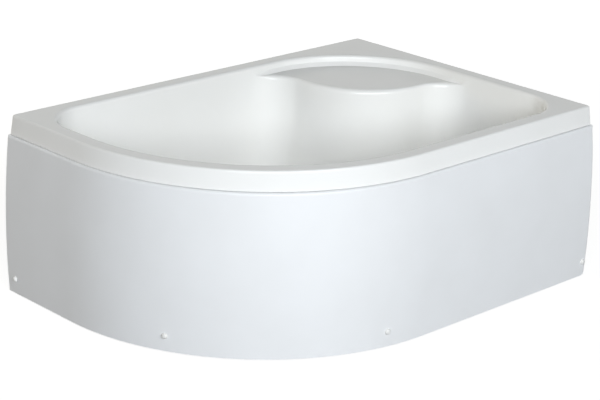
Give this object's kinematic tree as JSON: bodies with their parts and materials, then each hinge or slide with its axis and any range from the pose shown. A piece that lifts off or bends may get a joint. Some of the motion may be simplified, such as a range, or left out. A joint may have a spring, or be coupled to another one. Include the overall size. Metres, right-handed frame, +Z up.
{
  "type": "corner shower tray",
  "caption": "Deep offset-quadrant acrylic shower tray with a moulded corner seat, a bowed one-piece front panel, a steel frame on screw feet and a pop-up waste with a bottle trap.",
  "frame": {"origin": "on the floor, under the middle of the overall footprint", "axes": "+X along the long wall towards the wall corner, +Y towards the long wall, +Z up"},
  "size_m": [1.2322, 0.8822, 0.465],
  "materials": {
    "white_acrylic": "gloss sanitary acrylic",
    "panel_acrylic": "gloss sanitary acrylic, slightly cooler white",
    "chipboard": "raw chipboard, resin sealed",
    "frame_paint": "galvanised grey, matt",
    "zinc_steel": "bright zinc plated",
    "black_plastic": "moulded, matt",
    "black_rubber": "matt",
    "white_plastic": "moulded, semi-gloss",
    "trap_plastic": "moulded polypropylene",
    "chrome_plate": "polished",
    "brass_rod": "turned"
  },
  "bodies": {
    "tray": {"tray_shell": "white_acrylic", "floor_board": "chipboard", "seat_board": "chipboard", "front_panel": "panel_acrylic", "rail_back": "frame_paint", "rail_front": "frame_paint", "cross_left": "frame_paint", "cross_middle_rear": "frame_paint", "cross_middle_front": "frame_paint", "cross_right": "frame_paint", "seat_beam": "frame_paint", "tube_end_plugs": "black_plastic", "rim_post_back_left": "frame_paint", "rim_post_back_middle": "frame_paint", "rim_post_back_right": "frame_paint", "rim_post_front_left": "frame_paint", "rim_post_front_middle": "frame_paint", "rim_post_front_right": "frame_paint", "seat_post": "frame_paint", "post_pads": "black_rubber", "board_screws": "zinc_steel", "foot_weld_nuts": "zinc_steel", "foot_lock_nuts": "zinc_steel", "foot_washers": "zinc_steel", "panel_bracket_left": "zinc_steel", "panel_bracket_front_left": "zinc_steel", "panel_bracket_front_middle": "zinc_steel", "panel_bracket_front_right": "zinc_steel", "panel_screws": "zinc_steel", "screw_cap_bases": "white_plastic", "screw_caps": "white_plastic", "panel_clips": "white_plastic", "waste_body": "chrome_plate", "waste_gasket_upper": "black_rubber", "waste_gasket_lower": "black_rubber", "waste_back_nut": "trap_plastic", "union_nut": "trap_plastic", "trap_washer": "black_rubber"},
    "foot_left": {"foot_stud_left": "zinc_steel", "foot_pad_left": "black_plastic"},
    "foot_front_left": {"foot_stud_front_left": "zinc_steel", "foot_pad_front_left": "black_plastic"},
    "foot_front_middle": {"foot_stud_front_middle": "zinc_steel", "foot_pad_front_middle": "black_plastic"},
    "foot_front_right": {"foot_stud_front_right": "zinc_steel", "foot_pad_front_right": "black_plastic"},
    "foot_back_middle": {"foot_stud_back_middle": "zinc_steel", "foot_pad_back_middle": "black_plastic"},
    "foot_back_right": {"foot_stud_back_right": "zinc_steel", "foot_pad_back_right": "black_plastic"},
    "plug": {"plug_cap": "chrome_plate", "plug_seal": "black_rubber", "plug_stem": "brass_rod"},
    "trap": {"trap_body": "trap_plastic"},
    "trap_cup": {"trap_cup": "trap_plastic", "cup_seal": "black_rubber"}
  },
  "joints": [
    {"name": "foot_left_height", "type": "slide", "parent": "tray", "child": "foot_left", "axis": [0, 0, -1], "range_m": [-0.004, 0.02]},
    {"name": "foot_front_left_height", "type": "slide", "parent": "tray", "child": "foot_front_left", "axis": [0, 0, -1], "range_m": [-0.004, 0.02]},
    {"name": "foot_front_middle_height", "type": "slide", "parent": "tray", "child": "foot_front_middle", "axis": [0, 0, -1], "range_m": [-0.004, 0.02]},
    {"name": "foot_front_right_height", "type": "slide", "parent": "tray", "child": "foot_front_right", "axis": [0, 0, -1], "range_m": [-0.004, 0.02]},
    {"name": "foot_back_middle_height", "type": "slide", "parent": "tray", "child": "foot_back_middle", "axis": [0, 0, -1], "range_m": [-0.004, 0.02]},
    {"name": "foot_back_right_height", "type": "slide", "parent": "tray", "child": "foot_back_right", "axis": [0, 0, -1], "range_m": [-0.004, 0.02]},
    {"name": "plug_lift", "type": "slide", "parent": "tray", "child": "plug", "axis": [0, 0, 1], "range_m": [-0.008, 0]},
    {"name": "trap_swivel", "type": "hinge", "parent": "tray", "child": "trap", "pos_m": [0.05815, 0.05015, 0.09], "axis": [0, 0, 1], "continuous": true},
    {"name": "trap_cup_turn", "type": "hinge", "parent": "trap", "child": "trap_cup", "pos_m": [0.05815, 0.05015, 0.02], "axis": [0, 0, 1], "continuous": true}
  ]
}
